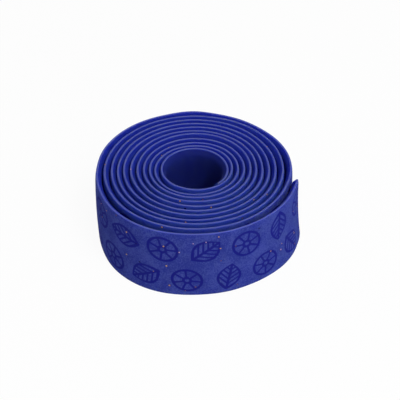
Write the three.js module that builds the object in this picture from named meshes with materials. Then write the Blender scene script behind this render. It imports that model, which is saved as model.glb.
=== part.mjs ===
// A roll of handlebar tape: one long strip of foam, wound up tight and stood on its edge.
// Sizes are in millimetres, +Z is up, and the origin is the middle of the base.

import * as THREE from "three";

// The strip as it lies flat
const tapeWidth = 30;
const tapeThickness = 2.38; // across the flat middle
const edgeThickness = 0.7; // both edges are pared thin, nearly all from the inner face
const flatMiddleWidth = 18;
const outerCrown = 0.35; // how far the middle of the outer face stands out past the edges
const endSlant = 2.3; // the outer end's top corner is cut this much shorter than the bottom one

// The winding, which runs outwards counter-clockwise when seen from above
const coreRadius = 11.3; // from the axis to the thin edge, at the inner end
const windingGap = 0.15; // air between the middles of two turns
const coreSqueeze = 0.33; // how much thinner the foam is pressed at the inner end than at the outer end
const turnCount = 11.11;
const innerEndAzimuth = 312; // degrees from +X
const stepsPerTurn = 48;

// Where the top edge leans outwards, or inwards if negative: hand winding never lays it quite even.
// Places are in turns from the inner end.
const edgeLeans = [
  { place: 0, lean: 1.15 },
  { place: 0.87, lean: -0.45 },
  { place: 1.43, lean: -0.6 },
  { place: 1.75, lean: 0.4 },
  { place: 2.41, lean: -0.8 },
  { place: 2.86, lean: -0.45 },
  { place: 3.44, lean: -0.35 },
  { place: 3.85, lean: -0.5 },
  { place: 4.33, lean: 0.55 },
  { place: 4.78, lean: -0.25 },
  { place: 6.61, lean: 0.35 },
  { place: 7.8, lean: 0.45 },
  { place: 9.21, lean: 0.5 },
  { place: 9.76, lean: 0.5 },
];
const leanSpread = 0.1; // in turns
const bottomLeanShare = -0.5; // the strip rocks about its middle, so the bottom edge leans the other way

// Nothing holds the last turn down: how far its top edge, middle and bottom edge stand off the roll.
// Places are in turns before the outer end, which has curled outwards at the bottom.
const standOffs = [
  { place: 1.07, top: 0, middle: 0, bottom: 0 },
  { place: 0.94, top: 1, middle: 1.3, bottom: 0.8 },
  { place: 0.83, top: -0.05, middle: 0.7, bottom: 0.4 },
  { place: 0.77, top: -0.05, middle: 0.7, bottom: 0.4 },
  { place: 0.72, top: 0.5, middle: 0.8, bottom: 0.4 },
  { place: 0.67, top: 0.15, middle: 0.75, bottom: 0.4 },
  { place: 0.57, top: 0.5, middle: 0.9, bottom: 0.5 },
  { place: 0.49, top: 0.5, middle: 0.85, bottom: 0.4 },
  { place: 0.34, top: 1.7, middle: 1.9, bottom: 1.8 },
  { place: 0.2, top: 0.65, middle: 0.9, bottom: 0.3 },
  { place: 0.16, top: 0.55, middle: 0.9, bottom: 0.35 },
  { place: 0.02, top: 1.05, middle: 1.3, bottom: 2.65 },
  { place: 0, top: 1, middle: 1.3, bottom: 2.85 },
];

const fullTurn = 2 * Math.PI;
const taperWidth = (tapeWidth - flatMiddleWidth) / 2;
const innerSwell = tapeThickness - outerCrown - edgeThickness; // the middle of the inner face, past the edges

function bell(distance, spread) {
  return Math.exp(-0.5 * (distance / spread) ** 2);
}

// Cross-section of the strip: x runs up the roll, y points away from its axis.
function stripSection() {
  const edge = edgeThickness / 2;
  const outerFace = edge + outerCrown;
  const innerFace = -edge - innerSwell;
  const section = new THREE.Shape();
  section.moveTo(0, -edge);
  section.lineTo(taperWidth, innerFace);
  section.lineTo(tapeWidth - taperWidth, innerFace);
  section.lineTo(tapeWidth, -edge);
  section.lineTo(tapeWidth, edge);
  section.lineTo(tapeWidth - taperWidth, outerFace);
  section.lineTo(taperWidth, outerFace);
  section.lineTo(0, edge);
  section.closePath();
  return section;
}

// Radius of an even winding: every turn adds the foam's thickness there and the air beside it.
function evenRadius(turns) {
  const innerPitch = tapeThickness - coreSqueeze + windingGap;
  return coreRadius + innerPitch * turns + (coreSqueeze * turns * turns) / (2 * turnCount);
}

// How far the winding presses a point of the section outwards: only the inner face gives.
function pressedIn(outward, turns) {
  const innerShare = Math.max(0, -outward - edgeThickness / 2) / innerSwell;
  return coreSqueeze * (1 - turns / turnCount) * innerShare;
}

// How far the last turn stands off the roll, at a share of the strip's width up from the bottom edge.
// It is eased from place to place along the strip, and follows one bow across its width.
function standOff(turnsLeft, across) {
  const left = Math.max(turnsLeft, 0);
  const next = standOffs.findIndex(({ place }) => place <= left);
  if (next === 0) {
    return 0;
  }
  const start = standOffs[next - 1];
  const end = standOffs[next];
  const way = THREE.MathUtils.smoothstep(start.place - left, 0, start.place - end.place);
  const top = THREE.MathUtils.lerp(start.top, end.top, way);
  const middle = THREE.MathUtils.lerp(start.middle, end.middle, way);
  const bottom = THREE.MathUtils.lerp(start.bottom, end.bottom, way);
  const edges = (2 * across - 1) * (across * top - (1 - across) * bottom);
  return edges + 4 * across * (1 - across) * middle;
}

// How far one thin edge strays from the middle of the strip.
function edgeStray(turns, isTop) {
  let lean = 0;
  for (const { place, lean: amount } of edgeLeans) {
    lean += amount * bell(turns - place, leanSpread);
  }
  return lean * (isTop ? 1 : bottomLeanShare);
}

// 0 over the flat middle of the strip, rising to 1 at its edges.
function edgeShare(height) {
  const fromMiddle = Math.abs(height - tapeWidth / 2);
  return Math.max(0, fromMiddle - flatMiddleWidth / 2) / taperWidth;
}

// Winds up a straight strip: x is the height on the roll, y the distance outwards, z the turns wound.
function windUp(strip) {
  const slantTurns = endSlant / (fullTurn * evenRadius(turnCount));
  const position = strip.getAttribute("position");
  for (let i = 0; i < position.count; i += 1) {
    const height = position.getX(i);
    const outward = position.getY(i);
    const wound = position.getZ(i);
    const slant = (slantTurns * (height / tapeWidth - 0.5) * wound) / turnCount;
    const turns = wound - slant;
    const stray = edgeStray(turns, height > tapeWidth / 2) * edgeShare(height);
    const lift = standOff(turnCount - turns, height / tapeWidth);
    const radius = evenRadius(turns) + lift + stray + outward + pressedIn(outward, turns);
    const azimuth = THREE.MathUtils.degToRad(innerEndAzimuth) + turns * fullTurn;
    position.setXYZ(i, radius * Math.cos(azimuth), radius * Math.sin(azimuth), height);
  }
  strip.computeVertexNormals();
}

// Moves the middle of the roll's footprint to the origin.
function centreOnBase(roll) {
  roll.computeBoundingBox();
  const middle = roll.boundingBox.getCenter(new THREE.Vector3());
  roll.translate(-middle.x, -middle.y, -roll.boundingBox.min.z);
}

function tapeRoll() {
  const roll = new THREE.ExtrudeGeometry(stripSection(), {
    depth: turnCount,
    steps: Math.round(turnCount * stepsPerTurn),
    bevelEnabled: false,
  });
  windUp(roll);
  centreOnBase(roll);
  const blueFoam = new THREE.MeshStandardMaterial({ color: 0x313c8b, roughness: 0.8, metalness: 0 });
  const mesh = new THREE.Mesh(roll, blueFoam);
  mesh.name = "tape_roll";
  return mesh;
}

const handlebarTape = new THREE.Group();
handlebarTape.add(tapeRoll());

export default handlebarTape;
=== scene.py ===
# A roll of foam handlebar tape standing on its edge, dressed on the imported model
import math

import bpy
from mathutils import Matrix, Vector, noise


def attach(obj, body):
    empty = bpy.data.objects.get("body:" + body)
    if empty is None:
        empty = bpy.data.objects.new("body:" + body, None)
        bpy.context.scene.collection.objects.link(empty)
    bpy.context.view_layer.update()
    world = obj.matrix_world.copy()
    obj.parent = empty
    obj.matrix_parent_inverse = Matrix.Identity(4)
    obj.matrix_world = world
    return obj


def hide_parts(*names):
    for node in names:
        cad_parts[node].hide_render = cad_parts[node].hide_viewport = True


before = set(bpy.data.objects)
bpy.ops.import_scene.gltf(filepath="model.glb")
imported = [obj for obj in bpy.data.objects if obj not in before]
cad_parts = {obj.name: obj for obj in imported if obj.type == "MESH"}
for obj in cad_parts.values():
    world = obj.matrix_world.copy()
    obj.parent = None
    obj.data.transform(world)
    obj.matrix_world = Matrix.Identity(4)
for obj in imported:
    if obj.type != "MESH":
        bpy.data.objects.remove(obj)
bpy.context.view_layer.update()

mm = 0.001  # everything below is worked out in millimetres and made in metres
fullTurn = 2 * math.pi


def linear(hexColour):  # sRGB hex to the linear colour that the shader wants
    parts = [int(hexColour[i:i + 2], 16) / 255 for i in (1, 3, 5)]
    return tuple(c / 12.92 if c <= 0.04045 else ((c + 0.055) / 1.055) ** 2.4 for c in parts) + (1.0,)


def addNode(tree, kind, settings=None, links=None):  # one node, its settings, and what feeds its inputs
    node = tree.nodes.new(kind)
    for name, value in (settings or {}).items():
        if isinstance(name, str) and hasattr(node, name):
            setattr(node, name, value)
        else:
            node.inputs[name].default_value = value
    for name, source in (links or {}).items():
        socket = source.outputs[0] if isinstance(source, bpy.types.Node) else source
        tree.links.new(socket, node.inputs[name])
    return node


# The camera stands where the photograph was taken from
view = {
    "place": (0.45, -364.6, 318.5),
    "tilt": 50.21,  # degrees up from looking straight down
    "lens": 111.2,
    "sensor": 36.0,
    "nearest": 10.0,  # nothing closer than this is drawn
}


def makeCamera():
    camera = bpy.data.objects.new("camera", bpy.data.cameras.new("camera"))
    camera.data.sensor_width = view["sensor"]
    camera.data.lens = view["lens"]
    camera.data.clip_start = view["nearest"] * mm
    camera.location = Vector(view["place"]) * mm
    camera.rotation_euler = (math.radians(view["tilt"]), 0, 0)
    bpy.context.scene.collection.objects.link(camera)
    bpy.context.scene.camera = camera


makeCamera()
print("camera placed")

# The tape is wound as the model is, turn for turn, on a finer mesh. Its section is fuller and its edges are
# rounder than the model's, and the turns under the last one share the slack.
tape = {
    "width": 30.0,
    "thickness": 2.47,  # across the flat middle
    "squeeze": 0.33,  # how much thinner the foam is pressed at the inner end
    "edge": 0.7,  # both edges are skived thin, from the inner face
    "flatMiddle": 18.0,
    "crown": 0.25,
    "endSlant": 2.3,
    "coreRadius": 11.3,
    "windingGap": 0.06,
    "turns": 11.11,
    "innerEnd": 312.0,  # degrees from +X
    # where the top edge leans out or in: turns from the inner end, millimetres
    "leans": [
        (0.0, 1.15), (0.87, -0.45), (1.43, -0.6), (1.75, 0.4), (2.41, -0.8), (2.86, -0.45), (3.44, -0.35),
        (3.85, -0.5), (4.33, 0.55), (4.78, -0.25), (6.61, 0.35), (7.8, 0.45), (9.21, 0.5), (9.76, 0.5),
    ],
    "leanSpread": 0.1,
    "bottomLeanShare": -0.5,
    "leanEase": 1.4,  # above 1, the lean sets in close to the edge
    # nothing holds the last turns down: how far the top edge, the middle and the bottom edge stand off
    # the roll, as turns before the outer end and millimetres
    "standOffs": [
        (3.6, 0, 0, 0), (3.3, 0, 0.15, 0), (2.94, 0, 0.2, 0), (2.34, 0, 0.45, 0), (2.1, 0, 0.3, 0),
        (1.94, 0, 0.45, 0), (1.34, 0, 0.95, 0), (1.07, 0, 0.65, 0),
        (0.94, 1, 1.4, 0.8), (0.83, -0.05, 0.8, 0.4), (0.77, -0.05, 0.8, 0.4),
        (0.72, 0.5, 0.9, 0.4), (0.67, 0.15, 0.85, 0.4), (0.57, 0.5, 1, 0.5), (0.49, 0.5, 0.95, 0.4),
        (0.34, 1.7, 2, 1.8), (0.2, 0.65, 1, 0.3), (0.16, 0.55, 1, 0.35), (0.02, 1.05, 1.4, 2.65),
        (0, 1, 1.4, 2.85),
    ],
    # what only the fine mesh shows
    "stepLength": 1.05,
    "faceSteps": 22,
    "edgeRound": 0.16,
    "edgeAngles": (60, 30, 0, -30, -60),  # where the rounding has its points, from the outer face inwards
    # how far in from an edge each face levels out, and how full it is on the way
    "outerShoulder": (1.8, 1.3),
    "innerShoulder": (1.7, 1.0),
    "waver": 0.18,  # the cut edges are never quite straight
    "waverLength": 14.0,
    "heightWaver": 0.22,  # nor all at one height
    "heightWaverLength": 60.0,
    # rows of the noise that lie apart, one for each of these wavers
    "topRow": (0.0, 3.0),
    "bottomRow": (7.0, 3.0),
    "heightRow": (20.0, 5.0),
}
taper = (tape["width"] - tape["flatMiddle"]) / 2
innerSwell = tape["thickness"] - tape["edge"] - tape["crown"]


def bell(distance, spread):
    return math.exp(-0.5 * (distance / spread) ** 2)


def smooth(x):
    x = min(max(x, 0.0), 1.0)
    return x * x * (3 - 2 * x)


def waver(length, wavelength, row):  # smooth noise along the strip, the same in each run
    return noise.noise(Vector((length / wavelength, *row)))


def evenRadius(turns):  # every turn adds the foam's thickness there and the air beside it
    innerPitch = tape["thickness"] - tape["squeeze"] + tape["windingGap"]
    return tape["coreRadius"] + innerPitch * turns + tape["squeeze"] * turns * turns / (2 * tape["turns"])


def standOff(turnsLeft, upright):  # eased from place to place, and in one bow from the bottom edge to the top
    stations = tape["standOffs"]
    if turnsLeft >= stations[0][0]:
        return 0.0
    following = next((k for k in range(1, len(stations)) if turnsLeft >= stations[k][0]), len(stations) - 1)
    start, end = stations[following - 1], stations[following]
    way = smooth((start[0] - turnsLeft) / (start[0] - end[0]))
    top, middle, bottom = (a + (b - a) * way for a, b in zip(start[1:], end[1:]))
    return (2 * upright - 1) * (upright * top - (1 - upright) * bottom) + 4 * upright * (1 - upright) * middle


def edgeStray(turns, length, isTop):  # how far one thin edge strays from the strip's middle
    lean = sum(amount * bell(turns - place, tape["leanSpread"]) for place, amount in tape["leans"])
    if not isTop:
        lean *= tape["bottomLeanShare"]
    row = tape["topRow"] if isTop else tape["bottomRow"]
    return lean + tape["waver"] * waver(length, tape["waverLength"], row)


# (height, outward, how far round) of each point, outer face first, going up; and where the cut edges lie
def stripSection():
    half = tape["edge"] / 2
    roundOff = tape["edgeRound"]
    last = tape["width"] - roundOff

    def bulge(height, shoulder):
        reach, fullness = shoulder
        fromEdge = min(height - roundOff, last - height)
        return 1 - (1 - min(max(fromEdge / reach, 0.0), 1.0)) ** fullness

    # closer together near the edges
    heights = [roundOff + (last - roundOff) * (1 - math.cos(math.pi * k / tape["faceSteps"])) / 2
               for k in range(tape["faceSteps"] + 1)]
    corner = [math.radians(angle) for angle in tape["edgeAngles"]]
    loop = [(h, half + tape["crown"] * bulge(h, tape["outerShoulder"])) for h in heights]
    loop += [(last + roundOff * math.cos(a), half * math.sin(a)) for a in corner]
    loop += [(h, -half - innerSwell * bulge(h, tape["innerShoulder"])) for h in reversed(heights)]
    loop += [(roundOff - roundOff * math.cos(a), -half * math.sin(a)) for a in corner]
    section, around = [], 0.0
    for k, (height, outward) in enumerate(loop):
        if k:
            around += math.hypot(height - loop[k - 1][0], outward - loop[k - 1][1])
        section.append((height, outward, around))
    topEdge = (section[len(heights) - 1][2], section[len(heights) + len(corner)][2])
    bottomEdge = (section[-len(corner) - 1][2], around + half)
    return section, (topEdge, bottomEdge)


def windingSteps():  # (turns, length along the strip) at every step
    steps = [(0.0, 0.0)]
    smallest = 1e-9  # turns: what is left after the last step is only rounding
    while tape["turns"] - steps[-1][0] > smallest:
        turns, length = steps[-1]
        onward = min(tape["stepLength"] / (fullTurn * evenRadius(turns)), tape["turns"] - turns)
        steps.append((turns + onward, length + onward * fullTurn * evenRadius(turns)))
    return steps


def placeOnRoll(turns, length, height, outward, slantTurns):
    middle = tape["width"] / 2
    turns -= slantTurns * (height / tape["width"] - 0.5) * turns / tape["turns"]
    share = (max(0.0, abs(height - middle) - tape["flatMiddle"] / 2) / taper) ** tape["leanEase"]
    stray = edgeStray(turns, length, height > middle) * share
    inward = max(0.0, -outward - tape["edge"] / 2)  # only the inner face gives
    pressed = tape["squeeze"] * (1 - turns / tape["turns"]) * inward / innerSwell
    radius = evenRadius(turns) + standOff(tape["turns"] - turns, height / tape["width"]) + stray
    radius += outward + pressed
    azimuth = math.radians(tape["innerEnd"]) + turns * fullTurn
    drop = tape["heightWaver"] * waver(length, tape["heightWaverLength"], tape["heightRow"])
    upright = height * (1 - drop / tape["width"])
    return Vector((radius * math.cos(azimuth), radius * math.sin(azimuth), upright))


def makeTape():
    section, cutEdges = stripSection()
    steps = windingSteps()
    stripLength = steps[-1][1]
    count = len(section)
    slantTurns = tape["endSlant"] / (fullTurn * evenRadius(tape["turns"]))
    places = [placeOnRoll(turns, length, height, outward, slantTurns)
              for turns, length in steps for height, outward, _ in section]
    low = [min(p[axis] for p in places) for axis in range(3)]
    high = [max(p[axis] for p in places) for axis in range(3)]
    middle = Vector(((low[0] + high[0]) / 2, (low[1] + high[1]) / 2, low[2]))

    faces, spots = [], []  # spots: millimetres along the strip and round its section, for each corner
    wholeWay = section[-1][2] + math.hypot(section[0][0] - section[-1][0], section[0][1] - section[-1][1])
    for i in range(len(steps) - 1):
        ring, nextRing = i * count, (i + 1) * count
        for j in range(count):
            following = (j + 1) % count
            faces.append((ring + j, nextRing + j, nextRing + following, ring + following))
            near, far = section[j][2], (section[following][2] if following else wholeWay)
            start, end = steps[i][1], steps[i + 1][1]
            spots += [(start, near), (end, near), (end, far), (start, far)]
    # both cut ends lie past the section's own range, where there is no print
    cutEnd = [(wholeWay + outward, wholeWay + height) for height, outward, _ in section]
    faces.append(tuple(range(count)))
    spots += cutEnd
    lastRing = (len(steps) - 1) * count
    faces.append(tuple(lastRing + j for j in reversed(range(count))))
    spots += reversed(cutEnd)

    mesh = bpy.data.meshes.new("wound_tape")
    mesh.from_pydata([(p - middle) * mm for p in places], [], faces)
    strip = mesh.uv_layers.new(name="strip")
    strip.data.foreach_set("uv", [value for spot in spots for value in spot])
    mesh.polygons.foreach_set("use_smooth", [len(face) == 4 for face in faces])
    mesh.validate()
    piece = bpy.data.objects.new("wound_tape", mesh)
    bpy.context.scene.collection.objects.link(piece)
    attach(piece, "root")
    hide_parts("tape_roll")
    print(f"tape wound: {stripLength / 1000:.2f} m, {len(faces)} faces")
    return piece, cutEdges, stripLength


# The print: two rows of spoked wheels and veined leaves in turn, each set a step further round than the last
tapePrint = {
    "repeat": 15.0,  # along the strip
    "rowRise": 14.0,
    "margin": 1.0,
    "turnStep": 67.0,  # degrees from one ornament to the next
    "rowTurn": 40.0,
    "line": 1.0,
    "rimRadius": 5.2,
    "hubRadius": 1.3,
    "spokes": 7,
    "spokeWidth": 0.8,
    "leafLong": 6.3,  # half its length
    "leafWide": 4.1,
    "veinSpacing": 2.3,
    "veinWidth": 0.95,
    "veinRake": 0.9,  # how far a vein runs along the leaf for each millimetre across it
    "softness": 0.2,  # how far the ink spreads into the foam
}


def inkLine(tree, distance, width):  # ink within half a line's width of a shape's outline
    fromLine = addNode(tree, "ShaderNodeMath", {"operation": "ABSOLUTE"}, {0: distance})
    return addNode(tree, "ShaderNodeMapRange", {
        "interpolation_type": "SMOOTHSTEP", "From Min": width / 2 + tapePrint["softness"] / 2,
        "From Max": width / 2 - tapePrint["softness"] / 2, "To Min": 0.0, "To Max": 1.0,
    }, {"Value": fromLine})


def wheelMask(tree, fromMiddle, sides):  # a rim, a hub and the spokes between them
    p = tapePrint
    rim = addNode(tree, "ShaderNodeMath", {"operation": "SUBTRACT", 1: p["rimRadius"]}, {0: fromMiddle})
    hub = addNode(tree, "ShaderNodeMath", {"operation": "SUBTRACT", 1: p["hubRadius"]}, {0: fromMiddle})
    azimuth = addNode(tree, "ShaderNodeMath", {"operation": "ARCTAN2"},
                      {0: sides.outputs[1], 1: sides.outputs[0]})
    sector = addNode(tree, "ShaderNodeMath", {"operation": "MULTIPLY", 1: p["spokes"] / fullTurn},
                     {0: azimuth})
    sector = addNode(tree, "ShaderNodeMath", {"operation": "FRACT"}, {0: sector})
    sector = addNode(tree, "ShaderNodeMath", {"operation": "SUBTRACT", 1: 0.5}, {0: sector})
    arc = addNode(tree, "ShaderNodeMath", {"operation": "MULTIPLY", 1: fullTurn / p["spokes"]}, {0: sector})
    arc = addNode(tree, "ShaderNodeMath", {"operation": "MULTIPLY"}, {0: arc, 1: fromMiddle})
    outsideHub = addNode(tree, "ShaderNodeMath", {"operation": "GREATER_THAN", 1: 0.0}, {0: hub})
    insideRim = addNode(tree, "ShaderNodeMath", {"operation": "LESS_THAN", 1: 0.0}, {0: rim})
    spoke = addNode(tree, "ShaderNodeMath", {"operation": "MULTIPLY"},
                    {0: inkLine(tree, arc, p["spokeWidth"]), 1: outsideHub})
    spoke = addNode(tree, "ShaderNodeMath", {"operation": "MULTIPLY"}, {0: spoke, 1: insideRim})
    rings = addNode(tree, "ShaderNodeMath", {"operation": "MAXIMUM"},
                    {0: inkLine(tree, rim, p["line"]), 1: inkLine(tree, hub, p["line"])})
    return addNode(tree, "ShaderNodeMath", {"operation": "MAXIMUM"}, {0: rings, 1: spoke})


def leafMask(tree, sides):  # a pointed leaf with a midrib and raked veins
    p = tapePrint
    across = addNode(tree, "ShaderNodeMath", {"operation": "ABSOLUTE"}, {0: sides.outputs[1]})
    along = addNode(tree, "ShaderNodeMath", {"operation": "MULTIPLY"},
                    {0: sides.outputs[0], 1: sides.outputs[0]})
    narrowing = p["leafWide"] / p["leafLong"] ** 2
    half = addNode(tree, "ShaderNodeMath", {"operation": "MULTIPLY_ADD", 1: -narrowing, 2: p["leafWide"]},
                   {0: along})
    edge = addNode(tree, "ShaderNodeMath", {"operation": "SUBTRACT"}, {0: half, 1: across})
    inside = addNode(tree, "ShaderNodeMath", {"operation": "GREATER_THAN", 1: 0.0}, {0: edge})
    vein = addNode(tree, "ShaderNodeMath", {"operation": "MULTIPLY_ADD", 1: p["veinRake"]},
                   {0: across, 2: sides.outputs[0]})
    vein = addNode(tree, "ShaderNodeMath", {"operation": "DIVIDE", 1: p["veinSpacing"]}, {0: vein})
    vein = addNode(tree, "ShaderNodeMath", {"operation": "FRACT"}, {0: vein})
    vein = addNode(tree, "ShaderNodeMath",
                   {"operation": "MULTIPLY_ADD", 1: p["veinSpacing"], 2: -p["veinSpacing"] / 2}, {0: vein})
    ribs = addNode(tree, "ShaderNodeMath", {"operation": "MAXIMUM"},
                   {0: inkLine(tree, vein, p["veinWidth"]), 1: inkLine(tree, across, p["line"])})
    ribs = addNode(tree, "ShaderNodeMath", {"operation": "MULTIPLY"}, {0: ribs, 1: inside})
    return addNode(tree, "ShaderNodeMath", {"operation": "MAXIMUM"},
                   {0: ribs, 1: inkLine(tree, edge, p["line"])})


def printMask(tree, strip):
    p = tapePrint
    parts = addNode(tree, "ShaderNodeSeparateXYZ", links={0: strip})
    rows = addNode(tree, "ShaderNodeMath", {"operation": "SUBTRACT", 1: p["margin"]}, {0: parts.outputs[1]})
    rows = addNode(tree, "ShaderNodeMath", {"operation": "DIVIDE", 1: p["rowRise"]}, {0: rows})
    row = addNode(tree, "ShaderNodeMath", {"operation": "FLOOR"}, {0: rows})
    # each row is shifted by half a repeat
    along = addNode(tree, "ShaderNodeMath", {"operation": "DIVIDE", 1: p["repeat"]}, {0: parts.outputs[0]})
    along = addNode(tree, "ShaderNodeMath", {"operation": "MULTIPLY_ADD", 1: 0.5}, {0: row, 2: along})
    cell = addNode(tree, "ShaderNodeMath", {"operation": "FLOOR"}, {0: along})
    across = addNode(tree, "ShaderNodeMath", {"operation": "FRACT"}, {0: along})
    upward = addNode(tree, "ShaderNodeMath", {"operation": "FRACT"}, {0: rows})
    # millimetres from the ornament's middle, turned with it
    local = addNode(tree, "ShaderNodeCombineXYZ", links={0: across, 1: upward})
    local = addNode(tree, "ShaderNodeVectorMath", {"operation": "SUBTRACT", 1: (0.5, 0.5, 0.0)}, {0: local})
    local = addNode(tree, "ShaderNodeVectorMath",
                    {"operation": "MULTIPLY", 1: (p["repeat"], p["rowRise"], 0.0)}, {0: local})
    rowTurn = addNode(tree, "ShaderNodeMath", {"operation": "MULTIPLY", 1: math.radians(p["rowTurn"])},
                      {0: row})
    angle = addNode(tree, "ShaderNodeMath", {"operation": "MULTIPLY_ADD", 1: math.radians(p["turnStep"])},
                    {0: cell, 2: rowTurn})
    local = addNode(tree, "ShaderNodeVectorRotate", {"rotation_type": "Z_AXIS"},
                    {"Vector": local, "Angle": angle})
    sides = addNode(tree, "ShaderNodeSeparateXYZ", links={0: local})
    fromMiddle = addNode(tree, "ShaderNodeVectorMath", {"operation": "LENGTH"}, {0: local}).outputs["Value"]
    odd = addNode(tree, "ShaderNodeMath", {"operation": "FLOORED_MODULO", 1: 2.0}, {0: cell})
    ornament = addNode(tree, "ShaderNodeMix", {"data_type": "FLOAT"},
                       {0: odd, 2: wheelMask(tree, fromMiddle, sides), 3: leafMask(tree, sides)})
    # rows 0 and 1 lie on the outer face; the inner face and the ends carry no print
    onFace = addNode(tree, "ShaderNodeMath", {"operation": "COMPARE", 1: 0.5, 2: 0.6}, {0: row})
    return addNode(tree, "ShaderNodeMath", {"operation": "MULTIPLY"}, {0: ornament, 1: onFace})


# EVA foam with ground cork in it, extruded, then skived along both edges: a soft dull skin, finely grained
# and a little cloudy, with scattered crumbs of cork; the cut edges are paler, partly for the open pores where
# the knife went through and partly as a painted highlight where the top edges catch the light from above
corkFoam = {
    "deep": "#232d7c",
    "pale": "#34418a",
    "wound": "#273d95",  # painted shade: the turns inside the roll, seen only between the turns, are drawn deeper and bluer than the last one
    "woundEnd": (1.35, 1.1),  # turns before the outer end, from that colour to the last turn's own
    "back": "#172690",  # painted shade: the inner face, seen only between the turns and in the hole, is drawn a deeper, bluer navy than the outer skin
    "backBlend": 0.3,
    "paintedHoleShade": "#15206f",  # painted shade: darkest on the first turn, round the hole
    # the cut edges: paler for the open pores, and in part a painted highlight where the top edges catch the
    # light
    "paleCutEdgeAndHighlight": "#4d569d",
    "edgeFade": 0.03,
    "ink": "#10136e",
    "inkCover": 0.92,
    "inkFray": 0.3,  # how far the grain pushes the ink and the crumbs about
    # the skin
    "grain": 0.55,  # the real pores are about 0.2 mm: drawn coarser, so that they show
    "cloud": 7.0,
    "grainWeight": 1.6,  # beside the cloud's
    "mottle": (1.1, 1.5),  # the two together, from the deep colour to the pale one
    "gloss": 0.08,
    "ior": 1.5,
    "roughness": (0.75, 0.9),
    "pores": 0.06,  # how deep they are
    "poreStrength": 0.35,
    "glow": 0.9,  # light goes a little way into the foam, blue the furthest
    "glowReach": (1.0, 1.2, 6.0),
    # the crumbs
    "crumbSpacing": 5.0,
    "crumbShare": 0.32,
    "innerCrumbShare": 0.04,  # the inner face shows few of them, and the hole none
    "plainLength": 80.0,  # the strip's first turn, round the hole
    "crumbRadii": (0.156, 0.338),  # the smallest and the largest
    "crumbEdge": (1.15, 0.75),  # crumb radii, from bare foam to whole crumb
    "crumbRise": 2.0,  # beside the grain's
    # brown, pinkish, dull and nearly black cork, and the share of the crumbs where each begins
    "crumbColours": [(0.0, "#ae8763"), (0.4, "#a98bb4"), (0.55, "#5f4664"), (0.75, "#0b0a24")],
    "crumbShadow": "#0b0a24",  # painted shadow: a dark ring round each crumb
    "crumbShadowReach": (1.9, 1.1),
    "crumbShadowStrength": 0.6,
}


def foamSkin(tree, place, grain, along, stripLength):
    foam = corkFoam
    cloud = addNode(tree, "ShaderNodeTexNoise", {"Scale": 1 / foam["cloud"], "Detail": 4.0},
                    {"Vector": place})
    mottle = addNode(tree, "ShaderNodeMath", {"operation": "MULTIPLY_ADD", 1: foam["grainWeight"]},
                     {0: grain, 2: cloud})
    least, most = foam["mottle"]
    mottle = addNode(tree, "ShaderNodeMapRange", {"From Min": least, "From Max": most}, {"Value": mottle})
    skin = addNode(tree, "ShaderNodeMix",
                   {"data_type": "RGBA", 6: linear(foam["deep"]), 7: linear(foam["pale"])}, {0: mottle})
    # painted shade: the turns inside the roll take the deeper, bluer wound colour
    lastTurnLength = fullTurn * evenRadius(tape["turns"] - 1)
    first, last = (stripLength - turns * lastTurnLength for turns in foam["woundEnd"])
    lastTurn = addNode(tree, "ShaderNodeMapRange", {"From Min": first, "From Max": last}, {"Value": along})
    skin = addNode(tree, "ShaderNodeMix", {"data_type": "RGBA", 6: linear(foam["wound"])},
                   {0: lastTurn, 7: skin.outputs[2]})
    return skin.outputs[2]


def innerFaceMask(tree, around, cutEdges):  # 1 over the inner face, falling to 0 at both cut edges: where the inner face's painted shade goes
    start, end = cutEdges[0][1], cutEdges[1][0]
    fromMiddle = addNode(tree, "ShaderNodeMath", {"operation": "SUBTRACT", 1: (start + end) / 2}, {0: around})
    fromMiddle = addNode(tree, "ShaderNodeMath", {"operation": "ABSOLUTE"}, {0: fromMiddle})
    return addNode(tree, "ShaderNodeMapRange", {
        "interpolation_type": "SMOOTHSTEP", "From Min": (end - start) / 2,
        "From Max": (end - start) / 2 - corkFoam["backBlend"],
    }, {"Value": fromMiddle})


def cutEdgeMask(tree, around, cutEdges):  # 1 where the knife went through, drawn paler: partly open pores, partly a painted highlight
    fade = corkFoam["edgeFade"]
    cuts = []
    for start, end in cutEdges:
        rise = addNode(tree, "ShaderNodeMapRange", {"From Min": start - fade, "From Max": start},
                       {"Value": around})
        fall = addNode(tree, "ShaderNodeMapRange", {"From Min": end + fade, "From Max": end},
                       {"Value": around})
        cuts.append(addNode(tree, "ShaderNodeMath", {"operation": "MULTIPLY"}, {0: rise, 1: fall}))
    cut = addNode(tree, "ShaderNodeMath", {"operation": "MAXIMUM"}, {0: cuts[0], 1: cuts[1]})
    return addNode(tree, "ShaderNodeMath", {"operation": "MULTIPLY"}, {0: cut, 1: cut})


def frayedPlace(tree, strip, grain):  # the place on the strip, shaken a little by the foam's grain
    fray = corkFoam["inkFray"]
    shake = addNode(tree, "ShaderNodeVectorMath", {"operation": "SUBTRACT", 1: (0.5, 0.5, 0.5)},
                    {0: grain.outputs["Color"]})
    return addNode(tree, "ShaderNodeVectorMath", {"operation": "MULTIPLY_ADD", 1: (fray, fray, 0.0)},
                   {0: shake, 2: strip})
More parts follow.
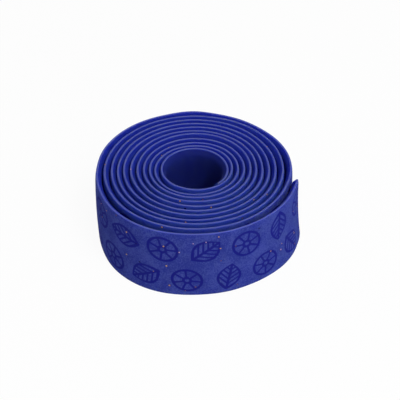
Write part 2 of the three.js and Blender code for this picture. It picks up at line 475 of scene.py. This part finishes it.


# One crumb in some of the cells, each of its own size and colour, with a painted shadow round it
def corkCrumbs(tree, frayed, around, pastHole, cutEdges):
    foam = corkFoam
    cells = addNode(tree, "ShaderNodeTexVoronoi",
                    {"voronoi_dimensions": "2D", "Scale": 1 / foam["crumbSpacing"]}, {"Vector": frayed})
    chance = addNode(tree, "ShaderNodeSeparateColor", links={0: cells.outputs["Color"]})
    inner = addNode(tree, "ShaderNodeMath", {"operation": "GREATER_THAN", 1: cutEdges[0][1]}, {0: around})
    share = addNode(tree, "ShaderNodeMapRange",
                    {"To Min": foam["crumbShare"], "To Max": foam["innerCrumbShare"]}, {"Value": inner})
    share = addNode(tree, "ShaderNodeMath", {"operation": "MULTIPLY"}, {0: share, 1: pastHole})
    picked = addNode(tree, "ShaderNodeMath", {"operation": "LESS_THAN"}, {0: chance.outputs[0], 1: share})
    smallest, largest = (radius / foam["crumbSpacing"] for radius in foam["crumbRadii"])
    reach = addNode(tree, "ShaderNodeMapRange", {"To Min": smallest, "To Max": largest},
                    {"Value": chance.outputs[1]})
    nearness = addNode(tree, "ShaderNodeMath", {"operation": "DIVIDE"},
                       {0: cells.outputs["Distance"], 1: reach})
    bare, whole = foam["crumbEdge"]
    crumb = addNode(tree, "ShaderNodeMapRange",
                    {"interpolation_type": "SMOOTHSTEP", "From Min": bare, "From Max": whole},
                    {"Value": nearness})
    crumb = addNode(tree, "ShaderNodeMath", {"operation": "MULTIPLY"}, {0: crumb, 1: picked})
    # painted shadow: a dark ring round each crumb, strongest next to it
    shadowOuter, shadowInner = foam["crumbShadowReach"]
    crumbShadow = addNode(tree, "ShaderNodeMapRange",
                  {"From Min": shadowOuter, "From Max": shadowInner, "To Max": foam["crumbShadowStrength"]}, {"Value": nearness})
    crumbShadow = addNode(tree, "ShaderNodeMath", {"operation": "MULTIPLY"}, {0: crumbShadow, 1: picked})
    colour = addNode(tree, "ShaderNodeValToRGB", links={0: chance.outputs[2]})
    ramp = colour.color_ramp
    ramp.interpolation = "CONSTANT"
    ramp.elements.remove(ramp.elements[1])
    for k, (start, hexColour) in enumerate(foam["crumbColours"]):
        element = ramp.elements.new(start) if k else ramp.elements[0]
        element.color = linear(hexColour)
    return crumb, crumbShadow, colour


def makeCorkFoam(cutEdges, stripLength):
    foam = corkFoam
    material = bpy.data.materials.new("cork_filled_eva_foam")
    material.use_nodes = True
    tree = material.node_tree
    tree.nodes.clear()
    strip = addNode(tree, "ShaderNodeUVMap", {"uv_map": "strip"})
    sides = addNode(tree, "ShaderNodeSeparateXYZ", links={0: strip})
    along, around = sides.outputs[0], sides.outputs[1]
    place = addNode(tree, "ShaderNodeTexCoord").outputs["Object"]
    place = addNode(tree, "ShaderNodeVectorMath", {"operation": "SCALE", "Scale": 1 / mm}, {0: place})
    grain = addNode(tree, "ShaderNodeTexNoise", {"Scale": 1 / foam["grain"], "Detail": 2.0, "Roughness": 0.6},
                    {"Vector": place})

    # the outer skin, the inner face right from the cut edges in a deeper painted shade, darkest round the
    # hole, and the edges themselves, paler in part as a painted highlight
    pastHole = addNode(tree, "ShaderNodeMath", {"operation": "GREATER_THAN", 1: foam["plainLength"]},
                       {0: along})
    # painted shade: the first turn's inner face, round the hole, takes the darkest colour
    inside = addNode(tree, "ShaderNodeMix",
                     {"data_type": "RGBA", 6: linear(foam["paintedHoleShade"]), 7: linear(foam["back"])}, {0: pastHole})
    skin = addNode(tree, "ShaderNodeMix", {"data_type": "RGBA"}, {
        0: innerFaceMask(tree, around, cutEdges), 6: foamSkin(tree, place, grain, along, stripLength),
        7: inside.outputs[2],
    })
    # the cut edges, paler for the open pores and in part as a painted highlight
    skin = addNode(tree, "ShaderNodeMix", {"data_type": "RGBA", 7: linear(foam["paleCutEdgeAndHighlight"])},
                   {0: cutEdgeMask(tree, around, cutEdges), 6: skin.outputs[2]})

    # ink that follows the foam's uneven skin, then a painted shadow round each crumb, and the crumbs
    frayed = frayedPlace(tree, strip, grain)
    inked = addNode(tree, "ShaderNodeMath", {"operation": "MULTIPLY", 1: foam["inkCover"]},
                    {0: printMask(tree, frayed)})
    skin = addNode(tree, "ShaderNodeMix", {"data_type": "RGBA", 7: linear(foam["ink"])},
                   {0: inked, 6: skin.outputs[2]})
    crumb, crumbShadow, crumbColour = corkCrumbs(tree, frayed, around, pastHole, cutEdges)
    skin = addNode(tree, "ShaderNodeMix", {"data_type": "RGBA", 7: linear(foam["crumbShadow"])},
                   {0: crumbShadow, 6: skin.outputs[2]})
    colour = addNode(tree, "ShaderNodeMix", {"data_type": "RGBA"},
                     {0: crumb, 6: skin.outputs[2], 7: crumbColour})

    height = addNode(tree, "ShaderNodeMath", {"operation": "MULTIPLY_ADD", 1: foam["crumbRise"]},
                     {0: crumb, 2: grain})
    bump = addNode(tree, "ShaderNodeBump", {"Strength": foam["poreStrength"], "Distance": foam["pores"] * mm},
                   {"Height": height})
    smoothest, roughest = foam["roughness"]
    rough = addNode(tree, "ShaderNodeMapRange", {"To Min": smoothest, "To Max": roughest}, {"Value": grain})
    surface = addNode(tree, "ShaderNodeBsdfPrincipled", {
        "IOR": foam["ior"], "Specular IOR Level": foam["gloss"], "Subsurface Weight": foam["glow"],
        "Subsurface Radius": foam["glowReach"], "Subsurface Scale": mm,
    }, {"Base Color": colour.outputs[2], "Roughness": rough, "Normal": bump})
    addNode(tree, "ShaderNodeOutputMaterial", links={0: surface})
    return material


woundTape, cutEdges, stripLength = makeTape()
woundTape.data.materials.append(makeCorkFoam(cutEdges, stripLength))
print("foam and print made")

# A white studio: the floor is nearly all its own white, so that only the soft shadow shows on it
studio = {
    "floorSize": 6000.0,
    "floorDrop": 0.05,  # just under the tape, so that the two don't share a face
    "paper": (0.9, 0.9, 0.9, 1),
    "ownWhite": 0.94,
    "worldLight": 0.35,
    # each lamp's place, size and power
    "lamps": {
        "key": ((420.0, -800.0, 900.0), 450.0, 4.0),
        "front": ((350.0, -1000.0, 200.0), 500.0, 4.1),
        "top": ((350.0, -450.0, 1050.0), 400.0, 4.8),
    },
}
white = (1, 1, 1, 1)


# The camera, gloss and glass see white, and everything else gets the plain light
def whiteShader(tree, plain, whiteKind, own):
    path = addNode(tree, "ShaderNodeLightPath")
    seen = addNode(tree, "ShaderNodeMath", {"operation": "MAXIMUM"},
                   {0: path.outputs["Is Camera Ray"], 1: path.outputs["Is Glossy Ray"]})
    seen = addNode(tree, "ShaderNodeMath", {"operation": "MAXIMUM"},
                   {0: seen, 1: path.outputs["Is Transmission Ray"]})
    share = addNode(tree, "ShaderNodeMath", {"operation": "MULTIPLY", 1: own}, {0: seen})
    whiteLight = addNode(tree, whiteKind, {"Color": white, "Strength": 1.0})
    return addNode(tree, "ShaderNodeMixShader", links={0: share, 1: plain, 2: whiteLight})


def makeWorld():
    scene = bpy.context.scene
    scene.world = scene.world or bpy.data.worlds.new("studio")
    scene.world.use_nodes = True
    tree = scene.world.node_tree
    tree.nodes.clear()
    plain = addNode(tree, "ShaderNodeBackground", {"Color": white, "Strength": studio["worldLight"]})
    addNode(tree, "ShaderNodeOutputWorld", links={0: whiteShader(tree, plain, "ShaderNodeBackground", 1.0)})


def makeFloor():
    half = studio["floorSize"] / 2 * mm
    mesh = bpy.data.meshes.new("floor")
    mesh.from_pydata([(x, y, -studio["floorDrop"] * mm) for x, y in
                      ((-half, -half), (half, -half), (half, half), (-half, half))], [], [(0, 1, 2, 3)])
    floor = bpy.data.objects.new("floor", mesh)
    bpy.context.scene.collection.objects.link(floor)
    paper = bpy.data.materials.new("white_paper")  # matt card, so it shows no gloss
    paper.use_nodes = True
    tree = paper.node_tree
    tree.nodes.clear()
    plain = addNode(tree, "ShaderNodeBsdfDiffuse", {"Color": studio["paper"]})
    addNode(tree, "ShaderNodeOutputMaterial",
            links={0: whiteShader(tree, plain, "ShaderNodeEmission", studio["ownWhite"])})
    mesh.materials.append(paper)


def makeLamps():
    for name, (place, size, power) in studio["lamps"].items():
        lamp = bpy.data.objects.new(name, bpy.data.lights.new(name, "AREA"))
        lamp.data.shape = "DISK"
        lamp.data.size = size * mm
        lamp.data.energy = power
        lamp.location = Vector(place) * mm
        lamp.rotation_euler = (-lamp.location).to_track_quat("-Z", "Y").to_euler()
        bpy.context.scene.collection.objects.link(lamp)


bpy.context.scene.view_settings.view_transform = "Standard"
makeWorld()
makeFloor()
makeLamps()
print("studio lit")
